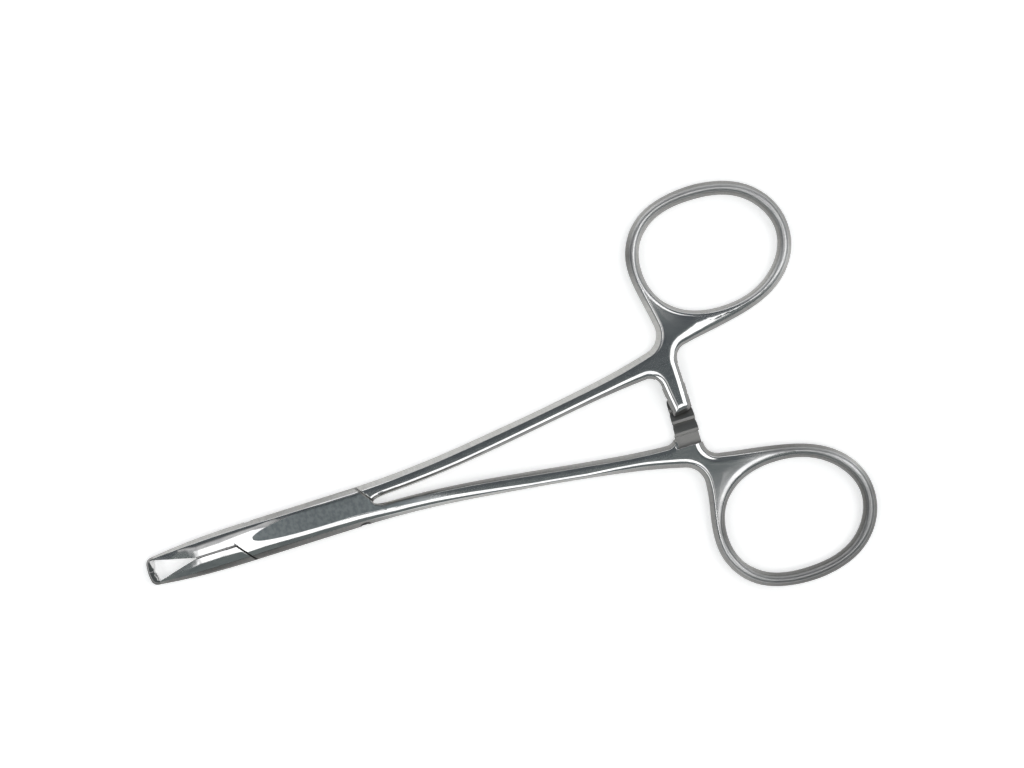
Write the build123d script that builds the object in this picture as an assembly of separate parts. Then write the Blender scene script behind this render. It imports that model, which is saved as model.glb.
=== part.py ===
from build123d import *
import os
from math import cos, radians, sin, tan

# Piercing forceps: a ring-handled locking clamp with a box lock and jaws that end in turned-in hooks.
# Millimetres. The pivot axis is X = Y = 0, +X runs to the jaw tips, +Z is up and Z = 0 is the
# underside of the box lock. The box arm carries the box, the ring on the +Y side and the jaw on the
# -Y side. The through arm crosses it in the slot, with its ring on the -Y side and its jaw on the +Y.
# An arm is drawn once, with its shank on its own +Y side, and the through arm is the mirror image.

os.makedirs("parts", exist_ok=True)

# Box lock
box_width = 7.0
box_thickness = 3.8
slot_height = 1.3
slot_half_length = 10.5
web_face_clearance = 0.04
web_end_clearance = 0.6
shoulder_flank_x = 10.05
shoulder_axis_x = 12.8
shoulder_gap = 0.2
closing_gap = 0.08
pin_diameter = 2.2
pin_running_clearance = 0.03

# Jaws
jaw_reach = 29.35
jaw_straight_x = 8.0
jaw_middle_x = 20.0
jaw_middle_half_width = 3.27
tip_half_width = 2.4
tip_bow = 0.35
jaw_end_slope = 0.13
tip_corner_radius = 1.25
window_apex_x = 20.1
window_half_angle = 14.2
window_face_length = 7.8

# Shanks: each y is that of the middle of the shank
shank_width = 3.0
shank_start_x = -9.0
shank_front_x = -22.0
shank_front_y = 2.52
shank_bend_x = -34.0
shank_bend_y = 3.77
shank_back_setback = 7.0
shank_back_y = 6.56
shank_root_y = 7.60
shank_root_width = 3.5
crotch_x = -12.4
crotch_length = 2.0
crotch_half_width = 0.63

# Finger rings. A ring's opening starts its setback behind the front of the ratchet finger, and its
# band starts the stand-off out from the middle of the shank's root
box_ring_setback = 3.6
through_ring_setback = 3.15
ring_stand_off = 4.45
ring_opening_length = 24.8
ring_opening_width = 19.5
ring_band = 2.5
# How far the opening stands out from a plain ellipse at its four corners: front outer, rear outer,
# rear inner and front inner
ring_corners = [1.06, 1.02, 0.985, 1.035]
# The turns, in degrees, at which the outline goes round the outside, from the rear inner side to the front
ring_turns = range(255, -16, -30)

# Neck between shank, ring and ratchet finger. Drops are measured in from the near side of the ring
neck_front_setback = 2.6
neck_front_drop = 0.55
neck_front_radius = 3.6
neck_rear_drop = 2.45
neck_rear_radius = 2.5
neck_swell_x = 3.5
neck_swell = 1.0
neck_far_inset = 1.5
neck_far_rise = 3.75

# Ratchet: one finger on each arm, the box arm's underneath with its teeth up
finger_front_x = -66.8
finger_width = 4.45
finger_reach = 1.65
finger_root_setback = 5.8
finger_root_rise = 0.4
finger_root_radius = 2.0
finger_end_radius = 1.4
finger_slant = 0.5
box_finger_narrowing = 0.35
through_finger_narrowing = 0.95
tooth_pitch = 2.2
tooth_crest = 0.5
tooth_depth = 0.6
tooth_back = 0.1
teeth = 3
box_rack_start = 5.1
through_rack_start = 3.65
rack_land_end = 7.3
rack_clearance = 0.1
rack_front_margin = 0.35

# Thickness, measured from the middle plane, and the bevel of the forged flanks
tip_half_thickness = 1.0
tip_slope = 0.09
jaw_half_thickness = 1.72
shank_half_thickness = 1.55
shank_slim_front_x = -32.0
shank_slim_back_x = -56.0
ratchet_half_thickness = 1.78
ring_half_thickness = 1.5
bevel_width = 0.7
bevel_depth = 1.45

finger_rear_x = finger_front_x - finger_width
shank_root_x = finger_front_x + finger_root_setback
near_side_y = shank_root_y + ring_stand_off
ring_y = near_side_y + ring_band + ring_opening_width / 2
box_ring_x = finger_front_x - box_ring_setback - ring_opening_length / 2
through_ring_x = finger_front_x - through_ring_setback - ring_opening_length / 2
half_width = box_width / 2
middle = box_thickness / 2
closing_edge = closing_gap / 2
shoulder_slope = (shoulder_axis_x - shoulder_flank_x) / half_width
web_radius = slot_half_length - web_end_clearance
slot_floor = middle - slot_height / 2
slot_roof = middle + slot_height / 2
# Cutting tools reach this far past the metal
beyond = 2.5
jaw_end = jaw_reach + beyond
ring_end = min(box_ring_x, through_ring_x) - ring_opening_length / 2 - ring_band - beyond
side = half_width + beyond
roof = box_thickness + beyond


def ring_opening(ring_x):
    """The opening of a finger ring: an ellipse whose four corners stand out by their own factors."""
    points = []
    for step in range(8):
        turn = radians(45 * step)
        factor = ring_corners[step // 2] if step % 2 else 1.0
        x = ring_x + factor * ring_opening_length / 2 * cos(turn)
        y = ring_y + factor * ring_opening_width / 2 * sin(turn)
        points.append((x, y))
    return Spline(*points, periodic=True)


def ring_outside(opening, turn):
    """A point on the outside of the ring, one band width out from the opening."""
    place = (turn % 360) / 360
    along = opening.tangent_at(place)
    outward = Vector(along.Y, -along.X)
    return opening.position_at(place) + outward * ring_band


def arm_plan(finger_narrowing, ring_x):
    """The plan of one arm with its shank on +Y, with the width of both jaws and before the cuts."""
    opening = ring_opening(ring_x)
    shank = [
        (shank_front_x, shank_front_y, shank_width / 2),
        (shank_bend_x, shank_bend_y, shank_width / 2),
        (shank_root_x + shank_back_setback, shank_back_y, shank_width / 2),
        (shank_root_x, shank_root_y, shank_root_width / 2),
    ]
    outer = [(x, y + half) for x, y, half in shank]
    inner = [(x, y - half) for x, y, half in shank]
    ring_points = [ring_outside(opening, turn) for turn in ring_turns]
    box_rear = (shank_start_x, half_width)
    jaw_root = (jaw_straight_x, half_width)
    jaw_middle = (jaw_middle_x, jaw_middle_half_width)
    tip_corner = (jaw_reach - tip_bow, tip_half_width)
    far_tip_corner = (tip_corner[0], -tip_half_width)
    far_jaw_middle = (jaw_middle_x, -jaw_middle_half_width)
    far_jaw_root = (jaw_straight_x, -half_width)
    far_box_rear = (crotch_x - crotch_length, -half_width)
    crotch = (crotch_x - crotch_length, crotch_half_width)
    finger_root = (finger_front_x, inner[-1][1] + finger_root_rise)
    finger_corner = (finger_front_x - finger_narrowing, -finger_reach)
    finger_round = (finger_rear_x, finger_slant - finger_reach)
    neck_rear = (finger_rear_x, near_side_y - neck_rear_drop)
    neck_near = (ring_x + neck_swell_x, near_side_y - neck_swell)
    ring_front_x = ring_x + ring_opening_length / 2 + ring_band
    neck_far = (ring_front_x - neck_far_inset, near_side_y + neck_far_rise)
    neck_front = (finger_front_x - neck_front_setback, near_side_y - neck_front_drop)
    edges = [
        Line(box_rear, jaw_root),
        Spline(jaw_root, jaw_middle, tip_corner, tangents=[(1, 0), (1, -jaw_end_slope)]),
        ThreePointArc(tip_corner, (jaw_reach, 0), far_tip_corner),
        Spline(far_tip_corner, far_jaw_middle, far_jaw_root, tangents=[(-1, -jaw_end_slope), (-1, 0)]),
        Line(far_jaw_root, far_box_rear),
        Line(far_box_rear, crotch),
        Spline(crotch, *inner, finger_root),
        Line(finger_root, finger_corner),
        Line(finger_corner, finger_round),
        Line(finger_round, neck_rear),
        Spline(neck_rear, neck_near, *ring_points, neck_far, neck_front),
        Spline(neck_front, *reversed(outer), box_rear),
    ]
    plan = make_face(Wire(edges))
    rounds = {
        tip_corner: tip_corner_radius,
        far_tip_corner: tip_corner_radius,
        finger_root: finger_root_radius,
        finger_round: finger_end_radius,
        neck_rear: neck_rear_radius,
        neck_front: neck_front_radius,
    }
    for place, radius in rounds.items():
        corner = plan.vertices().sort_by_distance(Vector(*place))[0]
        plan = fillet(corner, radius)
    return plan - make_face(Wire([opening]))


def side_slab(ring_x):
    """The thickness along the arm, seen from the side, carried right across it."""
    shape = [
        (ring_end, ring_half_thickness),
        (ring_x, ring_half_thickness),
        (finger_rear_x, ratchet_half_thickness),
        (shank_slim_back_x, shank_half_thickness),
        (shank_slim_front_x, shank_half_thickness),
        (-shoulder_axis_x, middle),
    ]
    tip = (jaw_end, tip_half_thickness - beyond * tip_slope)
    jaw = [(shoulder_axis_x, middle), (window_apex_x, jaw_half_thickness), tip]
    halves = []
    for sign in (1, -1):
        rear = [(x, 0, middle + sign * half) for x, half in shape]
        front = [(x, 0, middle + sign * half) for x, half in jaw]
        ends = [(1, 0, 0), (1, 0, 0)]
        nose = [(1, 0, 0), (1, 0, -sign * tip_slope)]
        halves.append((rear, front, Spline(*rear, tangents=ends), Spline(*front, tangents=nose)))
    (top_rear, top_front, *top), (low_rear, low_front, *low) = halves
    edges = [
        *top,
        *low,
        Line(top_rear[-1], top_front[0]),
        Line(low_rear[-1], low_front[0]),
        Line(top_front[-1], low_front[-1]),
        Line(top_rear[0], low_rear[0]),
    ]
    width = ring_y + ring_opening_width
    return extrude(make_face(Wire(edges)), width, dir=(0, 1, 0), both=True)


def forging(finger_narrowing, ring_x):
    """The whole arm as forged: plan, bevelled flanks above and below, and thickness."""
    blank = extrude(arm_plan(finger_narrowing, ring_x), box_thickness)
    for where in (-1, 0):
        face = blank.faces().filter_by(Axis.Z).sort_by(Axis.Z)[where]
        blank = chamfer(face.edges(), bevel_width, bevel_depth, reference=face)
    return blank & side_slab(ring_x)


def block(outline, bottom=-beyond, top=roof):
    """A cutting tool: a plan outline carried from one height to another."""
    return Pos(0, 0, bottom) * extrude(make_face(Polyline(*outline, close=True)), top - bottom)


def rectangle(x_low, x_high, y_low, y_high):
    """The four corners of a plan rectangle."""
    return [(x_low, y_low), (x_high, y_low), (x_high, y_high), (x_low, y_high)]


def window():
    """The pointed window between the jaws, with hook faces square to the flared faces."""
    flare = radians(window_half_angle)
    corner_x = window_apex_x + window_face_length * cos(flare)
    corner_y = window_face_length * sin(flare)
    hook_x = corner_x + corner_y * tan(flare)
    return block([(window_apex_x, 0), (corner_x, -corner_y), (hook_x, 0), (corner_x, corner_y)])


def crotch():
    """The rounded bottom of the gap between the shanks."""
    centre_x = crotch_x - crotch_length
    round_end = Pos(centre_x, 0, -beyond) * extrude(Ellipse(crotch_length, crotch_half_width), roof + beyond)
    behind = rectangle(centre_x - beyond, centre_x, -side, crotch_half_width - closing_edge)
    return round_end, block(behind)


def rack_cut(start):
    """All that is taken off above the teeth of a rack that faces up, on an arm with its shank on +Y."""
    crest = middle - rack_clearance / 2
    valley = crest - tooth_depth
    outline = [(rack_land_end, roof), (rack_land_end, valley)]
    for count in range(teeth):
        back = start - count * tooth_pitch
        outline.append((back + tooth_back, valley))
        outline.append((back, crest))
        outline.append((back - tooth_crest, crest))
    last = start - teeth * tooth_pitch
    outline.append((last + tooth_back, valley))
    outline.append((last - side, valley))
    outline.append((last - side, roof))
    front = finger_front_x + rack_front_margin
    points = [(front, y, z) for y, z in outline]
    profile = make_face(Polyline(*points, close=True))
    return extrude(profile, front - finger_rear_x + beyond, dir=(-1, 0, 0))


def box_arm():
    """The arm with the box: its cheeks lie over and under the web, its rack lies underneath."""
    arm = forging(box_finger_narrowing, box_ring_x)
    flank_x = shoulder_axis_x - shoulder_slope * side
    rear_end = -shoulder_axis_x - crotch_length - beyond
    front = [(shoulder_axis_x, -closing_edge), (shoulder_axis_x, 0), (flank_x, side)]
    front += [(jaw_end, side), (jaw_end, -closing_edge)]
    rear = [(-shoulder_axis_x, 0), (-flank_x, -side), (rear_end, -side), (rear_end, 0)]
    arm -= block(front)
    arm -= block(rear)
    arm -= window()
    for tool in crotch():
        arm -= tool
    slot = [
        rectangle(-slot_half_length, slot_half_length, -side, side),
        rectangle(0, shoulder_axis_x + beyond, -closing_edge, side),
        rectangle(-shoulder_axis_x - beyond, 0, -side, closing_edge),
    ]
    for outline in slot:
        arm -= block(outline, slot_floor, slot_roof)
    arm -= rack_cut(box_rack_start)
    arm -= Pos(0, 0, middle) * Cylinder(pin_diameter / 2, box_thickness)
    return arm


def through_arm():
    """The arm that passes through the box on its web, drawn with its shank on +Y, then mirrored."""
    arm = forging(through_finger_narrowing, through_ring_x)
    axis_x = shoulder_axis_x + shoulder_gap
    flank_x = axis_x - shoulder_slope * side
    rear_end = -axis_x - crotch_length - beyond
    cheeks = [(axis_x, side), (axis_x, 0), (flank_x, -side)]
    cheeks += [(-axis_x, -side), (-axis_x, 0), (-flank_x, side)]
    arm -= block(cheeks, bottom=slot_roof - web_face_clearance)
    arm -= block(cheeks, top=slot_floor + web_face_clearance)
    round_web = Pos(0, 0, middle) * Cylinder(web_radius, box_thickness + 2 * beyond)
    arm -= block(rectangle(0, jaw_end, -closing_edge, side)) - round_web
    arm -= block(rectangle(rear_end, 0, -side, closing_edge)) - round_web
    arm -= window()
    for tool in crotch():
        arm -= tool
    arm -= mirror(rack_cut(through_rack_start), about=Plane.XY.offset(middle))
    bore = pin_diameter / 2 + pin_running_clearance
    arm -= Pos(0, 0, middle) * Cylinder(bore, box_thickness)
    return mirror(arm, about=Plane.XZ)


def joint_pin():
    """The pin, flush with both cheeks."""
    return Pos(0, 0, middle) * Cylinder(pin_diameter / 2, box_thickness)


pieces = {"box_arm": box_arm(), "through_arm": through_arm(), "joint_pin": joint_pin()}
for name, piece in pieces.items():
    export_step(piece, f"parts/{name}.step")
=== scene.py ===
from math import atan, cos, pi, radians, sin

import bpy
import bmesh
import numpy as np
from mathutils import Matrix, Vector
from mathutils.geometry import delaunay_2d_cdt


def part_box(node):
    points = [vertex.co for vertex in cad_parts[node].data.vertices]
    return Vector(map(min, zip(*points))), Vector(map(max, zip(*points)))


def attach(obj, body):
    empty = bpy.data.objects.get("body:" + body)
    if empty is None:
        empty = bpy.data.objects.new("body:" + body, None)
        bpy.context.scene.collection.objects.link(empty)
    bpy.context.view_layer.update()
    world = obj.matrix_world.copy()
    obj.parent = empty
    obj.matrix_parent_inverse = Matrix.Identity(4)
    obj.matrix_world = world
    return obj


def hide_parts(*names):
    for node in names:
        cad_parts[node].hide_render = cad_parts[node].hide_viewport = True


# Polished steel forceps, closed, seen from straight above on white. Each arm is drawn here as a
# forged blank with crowned faces and ground bevels, and takes its cuts, slot and teeth from the
# arm that it replaces. Sizes are millimetres, and MM turns them into Blender's metres.

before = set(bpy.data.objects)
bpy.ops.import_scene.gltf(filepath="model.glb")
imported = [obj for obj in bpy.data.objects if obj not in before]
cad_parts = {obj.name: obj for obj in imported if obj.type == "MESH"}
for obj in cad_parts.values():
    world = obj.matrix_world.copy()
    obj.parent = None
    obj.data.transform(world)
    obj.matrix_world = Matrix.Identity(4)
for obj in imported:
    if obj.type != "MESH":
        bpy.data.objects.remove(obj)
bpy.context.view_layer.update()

MM = 0.001
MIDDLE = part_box("box_arm")[1].z / MM / 2

# Plan of an arm with its shank on +Y
BOX_HALF_WIDTH = 3.5
JAW_STRAIGHT_X = 8.0
JAW_MIDDLE = (20.0, 3.27)
TIP = (29.0, 2.4)
TIP_REACH = 29.35
TIP_RADIUS = 1.25
JAW_END_SLOPE = 0.13
SHANK_START_X = -9.0
CROTCH = (-14.4, 0.63)
CROTCH_LENGTH = 2.0
SHANK = [(-22.0, 2.52, 1.5), (-34.0, 3.77, 1.5), (-54.0, 6.56, 1.5), (-61.0, 7.60, 1.75)]
FINGER_FRONT_X = -66.8
FINGER_REAR_X = -71.25
FINGER_REACH = 1.65
FINGER_ROOT_Y = 6.25
FINGER_SLANT = 0.5
FINGER_ROOT_RADIUS = 2.0
FINGER_END_RADIUS = 1.4
FINGER_POINT_RADIUS = 0.3
NECK_FRONT = (-69.4, 11.5)
NECK_FRONT_RADIUS = 3.6
NECK_REAR_Y = 9.6
NECK_REAR_RADIUS = 2.5
NECK_SWELL = (3.5, 11.05)
NECK_FAR = (13.4, 15.8)
RING_Y = 24.3
RING_LENGTH = 24.8
RING_WIDTH = 19.5
RING_BAND = 2.5
RING_CORNERS = (1.06, 1.02, 0.985, 1.035)
RING_TURNS = np.arange(255, -16, -30)

# What differs between the two arms: the middle of the ring, the narrowing of the finger and the
# side that the shank lies on
ARMS = {
    "box_arm": {"body": "box_body", "ring_x": -82.8, "narrowing": 0.35, "side": 1},
    "through_arm": {"body": "through_body", "ring_x": -82.35, "narrowing": 0.95, "side": -1},
}

# Height of the faces over the middle plane, at places along the arm: a hair under the solids they
# are cut from, and lower on the jaws, where the faces lean
FACE_HEIGHTS = [
    (-100.0, 1.40), (-88.0, 1.41), (-84.0, 1.43), (-80.0, 1.50), (-76.0, 1.57), (-72.0, 1.61),
    (-68.0, 1.62), (-64.0, 1.60), (-60.0, 1.55), (-56.0, 1.48), (-52.0, 1.43), (-48.0, 1.40),
    (-44.0, 1.39), (-40.0, 1.41), (-36.0, 1.45), (-32.0, 1.51), (-28.0, 1.59), (-25.0, 1.66),
    (-22.0, 1.73), (-18.0, 1.81), (-14.0, 1.86), (-11.0, 1.896), (-3.0, 1.896), (6.0, 1.815),
    (13.0, 1.72), (19.6, 1.576), (20.4, 1.548), (21.4, 1.50), (28.0, 1.10), (29.4, 0.60),
]
# The jaws' faces lean a little towards +Y: slope across, at places along the arm
LEAN = [(-2.0, 0.0), (2.0, 0.020), (6.0, 0.055), (10.0, 0.079), (14.0, 0.085)]

# The section at places on the outline, each nearest to x, y, with straight runs of values between
# them: height of the bevel's foot, width of the bevel in plan, rounding of the ridge at its top,
# slope of the crown at the ridge, width of the crown, brightness of the ground bevel and satin
# crown, which is partly the steel's tone and partly painted light, set lighter or darker by side
# and by place for the light each spot reflects, and how satin the crown is
SECTIONS = {
    "box_arm": [
        (8.0, 3.5, 2.34, 0.97, 0.25, 0.35, 1.15, 0.15, 0.0),
        (-3.0, 3.5, 2.34, 0.92, 0.25, 0.35, 1.10, 0.17, 0.0),
        (-10.6, 3.5, 2.34, 0.78, 0.22, 0.35, 1.05, 0.22, 0.0),
        (-16.0, 3.62, 2.15, 0.60, 0.18, 0.35, 0.90, 0.32, 0.0),
        (-22.0, 4.02, 2.15, 0.52, 0.18, 0.35, 0.92, 0.40, 0.0),
        (-30.0, 4.80, 2.15, 0.45, 0.13, 0.30, 0.72, 0.38, 0.0),
        (-40.0, 6.10, 2.15, 0.42, 0.08, 0.25, 0.40, 0.36, 0.0),
        (-50.0, 7.50, 2.15, 0.42, 0.08, 0.25, 0.42, 0.36, 0.0),
        (-55.0, 8.20, 2.15, 0.55, 0.15, 0.32, 0.50, 0.32, 0.0),
        (-60.0, 9.20, 2.15, 0.70, 0.20, 0.35, 0.58, 0.28, 0.0),
        (-66.0, 10.9, 2.15, 0.75, 0.20, 0.35, 0.65, 0.27, 0.0),
        (-68.9, 13.0, 2.15, 0.75, 0.20, 0.22, 0.60, 0.27, 0.0),
        (-69.0, 18.0, 2.15, 0.70, 0.22, 0.20, 0.50, 0.22, 0.3),
        (-71.0, 31.5, 2.15, 0.60, 0.30, 0.55, 0.40, 0.27, 1.0),
        (-76.0, 35.0, 2.15, 0.60, 0.30, 0.55, 0.40, 0.17, 1.0),
        (-82.8, 36.5, 2.15, 0.60, 0.30, 0.55, 0.40, 0.14, 1.0),
        (-97.6, 24.0, 2.15, 0.50, 0.30, 0.55, 0.45, 0.17, 1.0),
        (-96.2, 18.6, 2.15, 0.50, 0.30, 0.55, 0.45, 0.42, 1.0),
        (-91.6, 14.0, 2.15, 0.55, 0.30, 0.55, 0.45, 0.22, 1.0),
        (-84.0, 11.9, 2.15, 0.60, 0.30, 0.50, 0.45, 0.17, 1.0),
        (-76.0, 11.4, 2.15, 0.75, 0.25, 0.30, 0.65, 0.25, 0.1),
        (-71.3, 8.5, 2.15, 0.70, 0.20, 0.30, 0.90, 0.25, 0.0),
        (-71.2, 2.0, 2.33, 0.50, 0.10, 0.35, 0.85, 0.25, 0.0),
        (-66.9, 2.0, 2.33, 0.50, 0.10, 0.35, 0.85, 0.25, 0.0),
        (-65.0, 6.3, 2.20, 0.70, 0.15, 0.25, 0.60, 0.26, 0.0),
        (-58.0, 5.50, 2.15, 0.80, 0.12, 0.15, 0.45, 0.32, 0.0),
        (-50.0, 4.50, 2.15, 0.75, 0.12, 0.12, 0.45, 0.33, 0.0),
        (-40.0, 3.10, 2.15, 0.75, 0.12, 0.12, 0.45, 0.31, 0.0),
        (-30.0, 1.80, 2.15, 0.60, 0.12, 0.12, 0.45, 0.24, 0.0),
        (-22.0, 1.02, 2.15, 0.55, 0.12, 0.12, 0.45, 0.22, 0.0),
        (-14.5, 0.63, 2.15, 0.50, 0.10, 0.10, 0.40, 0.36, 0.0),
        (-10.0, -3.5, 2.34, 0.78, 0.10, 0.70, 0.80, 0.40, 0.0),
        (-4.0, -3.5, 2.34, 0.76, 0.10, 0.70, 0.80, 0.33, 0.0),
        (5.0, -3.5, 2.34, 0.80, 0.14, 0.40, 0.30, 0.32, 0.0),
        (10.0, -3.5, 2.34, 0.68, 0.20, 0.32, 1.00, 0.38, 0.0),
        (16.0, -3.4, 2.15, 0.62, 0.22, 0.32, 1.45, 0.43, 0.0),
        (20.0, -3.27, 2.15, 0.58, 0.22, 0.32, 1.40, 0.43, 0.0),
        (23.0, -3.0, 2.12, 0.50, 0.15, 0.15, 1.20, 0.44, 0.0),
        (28.0, -2.6, 2.08, 0.40, 0.12, 0.10, 0.60, 0.42, 0.0),
        (29.35, 0.0, 2.08, 0.28, 0.10, 0.10, 0.50, 0.30, 0.0),
        (26.0, 2.8, 2.10, 0.50, 0.20, 0.30, 1.00, 0.17, 0.0),
    ],
    "through_arm": [
        (8.0, 3.5, 2.15, 0.75, 0.12, 0.12, 0.45, 0.40, 0.0),
        (-9.0, 3.5, 2.34, 0.82, 0.10, 0.70, 0.70, 0.44, 0.0),
        (-15.0, 3.60, 2.20, 0.85, 0.10, 0.66, 0.60, 0.50, 0.0),
        (-24.0, 4.20, 2.15, 0.85, 0.12, 0.30, 0.45, 0.50, 0.0),
        (-50.0, 7.50, 2.15, 0.85, 0.12, 0.12, 0.45, 0.52, 0.0),
        (-58.0, 8.80, 2.15, 0.90, 0.12, 0.15, 0.45, 0.52, 0.0),
        (-64.0, 10.3, 2.15, 0.90, 0.15, 0.20, 0.50, 0.48, 0.0),
        (-68.5, 12.5, 2.15, 0.95, 0.18, 0.14, 0.50, 0.46, 0.0),
        (-69.0, 18.0, 2.15, 0.85, 0.20, 0.14, 0.50, 0.42, 0.3),
        (-68.6, 28.0, 2.15, 0.65, 0.30, 0.55, 0.40, 0.15, 1.0),
        (-72.5, 33.5, 2.15, 0.60, 0.30, 0.55, 0.40, 0.34, 1.0),
        (-82.4, 36.5, 2.15, 0.60, 0.30, 0.55, 0.40, 0.25, 1.0),
        (-97.1, 24.0, 2.15, 0.50, 0.30, 0.55, 0.45, 0.30, 1.0),
        (-95.6, 18.5, 2.15, 0.50, 0.30, 0.55, 0.45, 0.42, 1.0),
        (-86.0, 12.2, 2.15, 0.65, 0.24, 0.35, 0.90, 0.30, 0.4),
        (-77.0, 11.5, 2.15, 0.60, 0.18, 0.28, 1.90, 0.28, 0.0),
        (-71.3, 8.5, 2.20, 0.48, 0.12, 0.35, 1.00, 0.25, 0.0),
        (-71.2, 4.0, 2.33, 0.50, 0.10, 0.35, 0.92, 0.25, 0.0),
        (-69.5, -1.4, 2.33, 0.60, 0.12, 0.36, 0.95, 0.20, 0.0),
        (-66.9, 2.0, 2.33, 0.50, 0.10, 0.35, 0.92, 0.25, 0.0),
        (-66.6, 6.0, 2.20, 0.45, 0.12, 0.35, 1.00, 0.22, 0.0),
        (-63.0, 6.2, 2.15, 0.45, 0.15, 0.35, 0.80, 0.18, 0.0),
        (-58.0, 5.50, 2.15, 0.48, 0.13, 0.27, 0.52, 0.17, 0.0),
        (-50.0, 4.50, 2.15, 0.42, 0.08, 0.25, 0.50, 0.22, 0.0),
        (-40.0, 3.10, 2.15, 0.42, 0.08, 0.25, 0.48, 0.20, 0.0),
        (-30.0, 1.80, 2.15, 0.42, 0.08, 0.25, 0.46, 0.32, 0.0),
        (-22.0, 1.02, 2.15, 0.48, 0.08, 0.25, 0.44, 0.55, 0.0),
        (-14.5, 0.63, 2.15, 0.48, 0.08, 0.25, 0.40, 0.70, 0.0),
        (-10.0, -3.5, 2.15, 0.95, 0.25, 0.40, 1.20, 0.20, 0.0),
        (10.0, -3.5, 2.15, 0.95, 0.25, 0.40, 1.50, 0.20, 0.0),
        (16.0, -3.4, 2.15, 0.90, 0.25, 0.40, 1.75, 0.20, 0.0),
        (20.0, -3.27, 2.15, 0.80, 0.25, 0.40, 1.60, 0.19, 0.0),
        (23.0, -3.0, 2.12, 0.65, 0.20, 0.30, 1.20, 0.17, 0.0),
        (26.0, -2.8, 2.10, 0.50, 0.20, 0.30, 1.00, 0.17, 0.0),
        (29.35, 0.0, 2.08, 0.28, 0.10, 0.10, 0.50, 0.30, 0.0),
    ],
}
OPENING_SECTIONS = {
    "box_arm": [
        (-70.4, 24.0, 2.15, 0.55, 0.28, 0.52, 0.42, 0.14, 1.0),
        (-72.0, 29.5, 2.15, 0.60, 0.30, 0.55, 0.40, 0.34, 1.0),
        (-76.0, 32.6, 2.15, 0.60, 0.30, 0.55, 0.40, 0.18, 1.0),
        (-95.2, 24.0, 2.15, 0.60, 0.30, 0.55, 0.40, 0.17, 1.0),
        (-93.5, 19.5, 2.15, 0.60, 0.30, 0.55, 0.40, 0.22, 1.0),
        (-76.0, 15.5, 2.15, 0.55, 0.22, 0.28, 1.10, 0.22, 0.15),
    ],
    "through_arm": [
        (-70.0, 24.0, 2.15, 0.55, 0.26, 0.50, 0.50, 0.32, 0.9),
        (-71.6, 29.2, 2.15, 0.60, 0.28, 0.52, 0.45, 0.42, 0.9),
        (-78.0, 33.6, 2.15, 0.60, 0.30, 0.55, 0.40, 0.27, 1.0),
        (-94.7, 24.0, 2.15, 0.60, 0.30, 0.55, 0.40, 0.28, 1.0),
        (-90.0, 16.8, 2.15, 0.60, 0.30, 0.55, 0.40, 0.42, 1.0),
        (-75.6, 15.5, 2.15, 0.50, 0.18, 0.36, 0.70, 0.32, 0.0),
    ],
}
CROTCH_SECTIONS = {
    "box_arm": [
        (-12.4, 0.0, 2.15, 0.12, 0.05, 0.10, 0.30, 0.20, 0.0),
        (-14.4, 0.6, 2.15, 0.50, 0.10, 0.10, 0.40, 0.36, 0.0),
    ],
    "through_arm": [(-12.4, 0.0, 2.15, 0.42, 0.08, 0.25, 0.40, 0.70, 0.0)],
}
FOOT, INSET, ROUND, SLOPE, WIDTH, TONE_AND_PAINTED_LIGHT, SATIN = range(7)

# Spacing of the outline's own points, of the rows that follow it, and of the grid between them
FINE = 0.05
STEP = 0.22
GRID = 0.34
# The blank reaches this far past the outline, and is at least this thick over its middle plane
RIM = 0.06
# Rows over the crown, as shares of its width, and how far a row may stray from its depth
CROWN_ROWS = (0, 0.15, 0.3, 0.45, 0.6, 0.8, 1.0)
ROW_SLACK = 0.01
CROTCH_POINTS = 60
# A rounded corner is looked for this many radii along both runs
CORNER_REACH = 6
NEAREST_BATCH = 2000
# Corners nearer than this are one: millimetres in the blank's plan, metres on the CAD's mesh
MERGED = 1e-7
SHARP = radians(32)
# From here to the tips the hooks meet: faces this near to the middle are brought to a hair from it
HOOK_X = 27.4
CLOSING_GAP = 0.08
HAIR = 0.005
# Slivers narrower than this, left by the cut, are merged away
SLIVER = 0.0004
# The teeth: their front end, the margin at the rear, and how far they go from the middle in
# height and in Y
RACK_FRONT_X = -66.9
RACK_MARGIN = 0.1
RACK_BAND = 0.7
RACK_REACH = 7.4


def curve(points, start=None, end=None, closed=False):
    """A smooth line through points, sampled finely. Each span is a cubic in the run of the chords,
    and the slopes make the curvature agree at every point. An open end is straight unless its
    direction is given."""
    knots = np.array(points, float)
    if closed:
        knots = np.vstack([knots, knots, knots, knots[:1]])
    run = np.linalg.norm(np.diff(knots, axis=0), axis=1)
    chord = np.diff(knots, axis=0) / run[:, None]
    last = len(knots) - 1
    inner = np.arange(1, last)
    matrix = np.zeros((last + 1, last + 1))
    matrix[inner, inner - 1] = run[1:]
    matrix[inner, inner] = 2 * (run[:-1] + run[1:])
    matrix[inner, inner + 1] = run[:-1]
    right = np.zeros_like(knots)
    right[1:-1] = 3 * (run[1:, None] * chord[:-1] + run[:-1, None] * chord[1:])
    for row, near, direction, span in ((0, 1, start, chord[0]), (last, last - 1, end, chord[-1])):
        matrix[row, row] = 1 if direction else 2
        matrix[row, near] = 0 if direction else 1
        right[row] = np.array(direction) / np.hypot(*direction) if direction else 3 * span
    slopes = np.linalg.solve(matrix, right)
    at = np.concatenate([[0], np.cumsum(run)])
    third = len(points)
    low, high = (at[third], at[2 * third]) if closed else (0, at[-1])
    place = np.linspace(low, high, int(np.ceil((high - low) / FINE)) + 1)
    span = np.clip(np.searchsorted(at, place, "right") - 1, 0, last - 1)
    t = ((place - at[span]) / run[span])[:, None]
    size = run[span][:, None]
    ends = knots[span] * (1 + 2 * t) * (1 - t) ** 2 + knots[span + 1] * (3 - 2 * t) * t**2
    return ends + size * t * (1 - t) * (slopes[span] * (1 - t) - slopes[span + 1] * t)


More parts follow.
